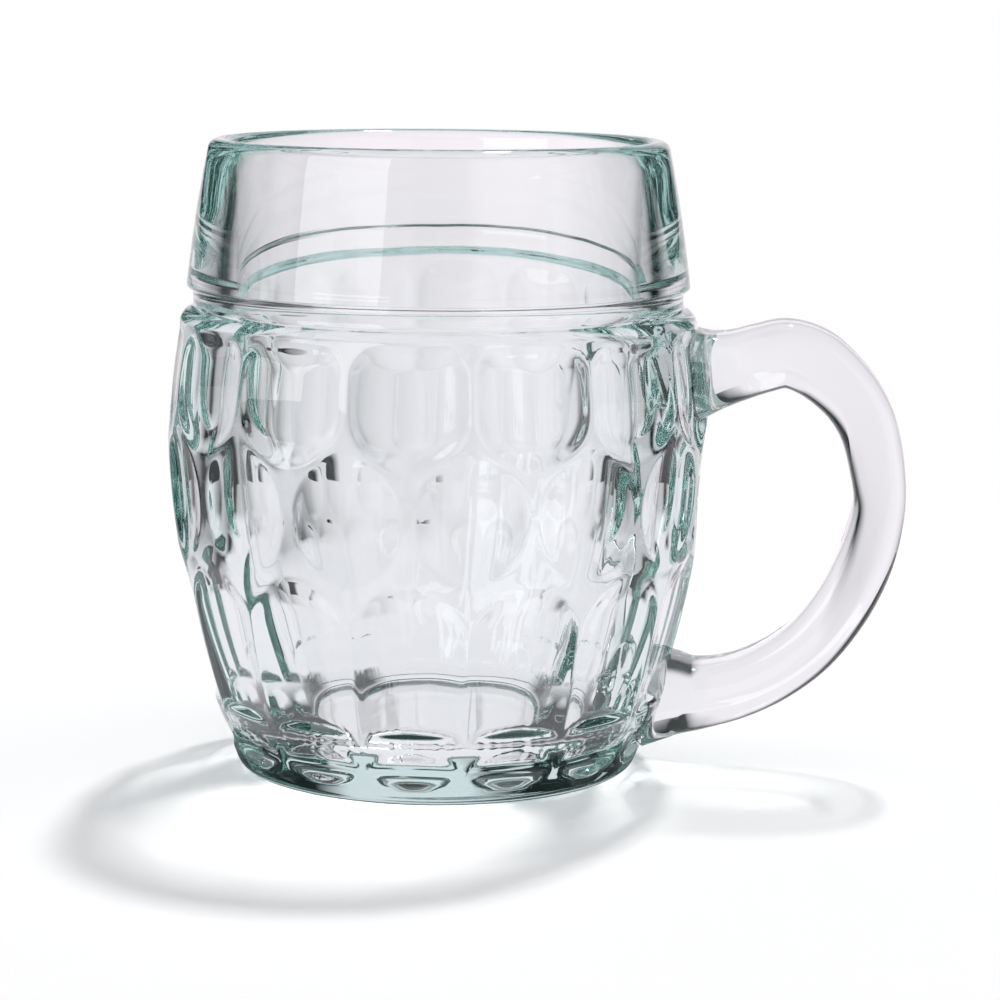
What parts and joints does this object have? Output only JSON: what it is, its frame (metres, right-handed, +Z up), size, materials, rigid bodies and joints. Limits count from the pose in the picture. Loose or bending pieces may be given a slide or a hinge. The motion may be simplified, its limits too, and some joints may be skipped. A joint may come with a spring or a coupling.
{
  "type": "dimpled beer mug",
  "caption": "Thick pressed-glass beer mug with a smooth collar, rows of dimples, flutes round the foot and a stuck-on loop handle.",
  "frame": {"origin": "on the table under the middle of the base, in the plane of the foot ring", "axes": "+Z up along the mug's axis, +X towards the handle, +Y across it"},
  "size_m": [0.1489, 0.1088, 0.127],
  "materials": {
    "clear_glass": "fire-polished, clear with a faint green-grey tint in the thick places"
  },
  "bodies": {
    "root": {"bowl": "clear_glass", "handle": "clear_glass"}
  },
  "joints": []
}
